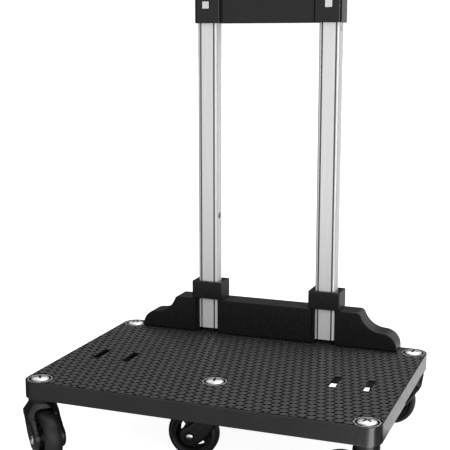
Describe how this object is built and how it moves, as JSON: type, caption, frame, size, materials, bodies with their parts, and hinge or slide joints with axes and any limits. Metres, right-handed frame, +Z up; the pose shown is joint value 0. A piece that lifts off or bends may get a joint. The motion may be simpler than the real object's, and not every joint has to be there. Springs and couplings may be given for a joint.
{
  "type": "folding platform cart",
  "caption": "Low platform cart with a moulded deck on swivel casters and a fold-down telescopic handle.",
  "frame": {"origin": "on the floor, under the middle of the deck", "axes": "+Z up, +Y from the deck's front edge towards the handle, +X along the deck's long side"},
  "size_m": [0.4047, 0.3222, 0.9062],
  "materials": {
    "black_plastic": "moulded satin black",
    "dark_plastic": "satin black",
    "tyre_rubber": "smooth black tread",
    "grip_rubber": "soft matt black",
    "button_grey": "satin grey",
    "aluminium": "satin anodised",
    "bright_steel": "bright zinc plate",
    "dark_steel": "dark coated steel"
  },
  "bodies": {
    "deck": {"deck_board": "black_plastic", "front_left_caster_bolt": "bright_steel", "front_left_bearing_cup": "dark_plastic", "front_right_caster_bolt": "bright_steel", "front_right_bearing_cup": "dark_plastic", "rear_left_caster_bolt": "bright_steel", "rear_left_bearing_cup": "dark_plastic", "rear_right_caster_bolt": "bright_steel", "rear_right_bearing_cup": "dark_plastic", "middle_caster_bolt": "bright_steel", "middle_bearing_cup": "dark_plastic", "hinge_bracket_left": "dark_steel", "hinge_bracket_right": "dark_steel", "hinge_pin_left": "bright_steel", "hinge_pin_right": "bright_steel", "hinge_screw_left": "dark_steel", "hinge_screw_right": "dark_steel"},
    "handle_frame": {"back_panel": "dark_plastic", "handle_bracket": "black_plastic", "lever_pin": "bright_steel", "lever_spring": "bright_steel", "tube_collar_left": "dark_plastic", "tube_collar_right": "dark_plastic", "outer_tube_left": "aluminium", "outer_tube_right": "aluminium", "bracket_plug_left": "bright_steel", "bracket_plug_right": "bright_steel"},
    "release_lever": {"fold_release_lever": "black_plastic"},
    "telescope": {"grip_body": "grip_rubber", "grip_cover": "grip_rubber", "button_spring": "bright_steel", "inner_tube_left": "aluminium", "inner_tube_right": "aluminium", "tube_foot_left": "black_plastic", "tube_foot_right": "black_plastic"},
    "button": {"grip_button": "button_grey", "pull_rod_left": "bright_steel", "pull_rod_right": "bright_steel"},
    "pin_left": {"lock_pin_left": "bright_steel"},
    "pin_right": {"lock_pin_right": "bright_steel"},
    "front_left_fork": {"front_left_fork": "dark_plastic", "front_left_axle": "bright_steel"},
    "front_left_wheel": {"front_left_wheel": "dark_plastic", "front_left_tyre": "tyre_rubber"},
    "front_right_fork": {"front_right_fork": "dark_plastic", "front_right_axle": "bright_steel"},
    "front_right_wheel": {"front_right_wheel": "dark_plastic", "front_right_tyre": "tyre_rubber"},
    "rear_left_fork": {"rear_left_fork": "dark_plastic", "rear_left_axle": "bright_steel"},
    "rear_left_wheel": {"rear_left_wheel": "dark_plastic", "rear_left_tyre": "tyre_rubber"},
    "rear_right_fork": {"rear_right_fork": "dark_plastic", "rear_right_axle": "bright_steel"},
    "rear_right_wheel": {"rear_right_wheel": "dark_plastic", "rear_right_tyre": "tyre_rubber"},
    "middle_fork": {"middle_fork": "dark_plastic", "middle_axle": "bright_steel"},
    "middle_wheel": {"middle_wheel": "dark_plastic", "middle_tyre": "tyre_rubber"}
  },
  "joints": [
    {"name": "handle_fold", "type": "hinge", "parent": "deck", "child": "handle_frame", "pos_m": [0, 0.1155, 0.1022], "axis": [1, 0, 0], "range_deg": [0, 90]},
    {"name": "lever_lift", "type": "hinge", "parent": "handle_frame", "child": "release_lever", "pos_m": [0, 0.131, 0.106], "axis": [1, 0, 0], "range_deg": [0, 20], "stiffness_Nm_per_rad": 0.2, "springref_deg": -17.19},
    {"name": "handle_telescope", "type": "slide", "parent": "handle_frame", "child": "telescope", "axis": [0, 0, 1], "range_m": [-0.345, 0]},
    {"name": "button_press", "type": "slide", "parent": "telescope", "child": "button", "axis": [0, 0, 1], "range_m": [-0.004, 0], "stiffness_N_per_m": 500, "springref_m": 0.005, "deforming": ["button_spring"]},
    {"name": "pin_left_draw", "type": "slide", "parent": "telescope", "child": "pin_left", "axis": [1, 0, 0], "range_m": [-0.003, 0]},
    {"name": "pin_right_draw", "type": "slide", "parent": "telescope", "child": "pin_right", "axis": [1, 0, 0], "range_m": [-0.003, 0]},
    {"name": "front_left_swivel", "type": "hinge", "parent": "deck", "child": "front_left_fork", "pos_m": [-0.184, -0.121, 0.07], "axis": [0, 0, 1], "continuous": true},
    {"name": "front_left_roll", "type": "hinge", "parent": "front_left_fork", "child": "front_left_wheel", "pos_m": [-0.16645, -0.13737, 0.029], "axis": [0.682, 0.7314, 0], "continuous": true},
    {"name": "front_right_swivel", "type": "hinge", "parent": "deck", "child": "front_right_fork", "pos_m": [0.184, -0.121, 0.07], "axis": [0, 0, 1], "continuous": true},
    {"name": "front_right_roll", "type": "hinge", "parent": "front_right_fork", "child": "front_right_wheel", "pos_m": [0.16023, -0.12434, 0.029], "axis": [0.1392, -0.9903, 0], "continuous": true},
    {"name": "rear_left_swivel", "type": "hinge", "parent": "deck", "child": "rear_left_fork", "pos_m": [-0.184, 0.121, 0.07], "axis": [0, 0, 1], "continuous": true},
    {"name": "rear_left_roll", "type": "hinge", "parent": "rear_left_fork", "child": "rear_left_wheel", "pos_m": [-0.16145, 0.12921, 0.029], "axis": [-0.342, 0.9397, 0], "continuous": true},
    {"name": "rear_right_swivel", "type": "hinge", "parent": "deck", "child": "rear_right_fork", "pos_m": [0.184, 0.121, 0.07], "axis": [0, 0, 1], "continuous": true},
    {"name": "rear_right_roll", "type": "hinge", "parent": "rear_right_fork", "child": "rear_right_wheel", "pos_m": [0.16023, 0.11766, 0.029], "axis": [0.1392, -0.9903, 0], "continuous": true},
    {"name": "middle_swivel", "type": "hinge", "parent": "deck", "child": "middle_fork", "pos_m": [0, -0.061, 0.07], "axis": [0, 0, 1], "continuous": true},
    {"name": "middle_roll", "type": "hinge", "parent": "middle_fork", "child": "middle_wheel", "pos_m": [-0.02394, -0.06267, 0.029], "axis": [0.0698, -0.9976, 0], "continuous": true}
  ],
  "couplings": [
    {"joint": "pin_left_draw", "follows": "button_press", "ratio": 0.75},
    {"joint": "pin_right_draw", "follows": "button_press", "ratio": 0.75}
  ]
}
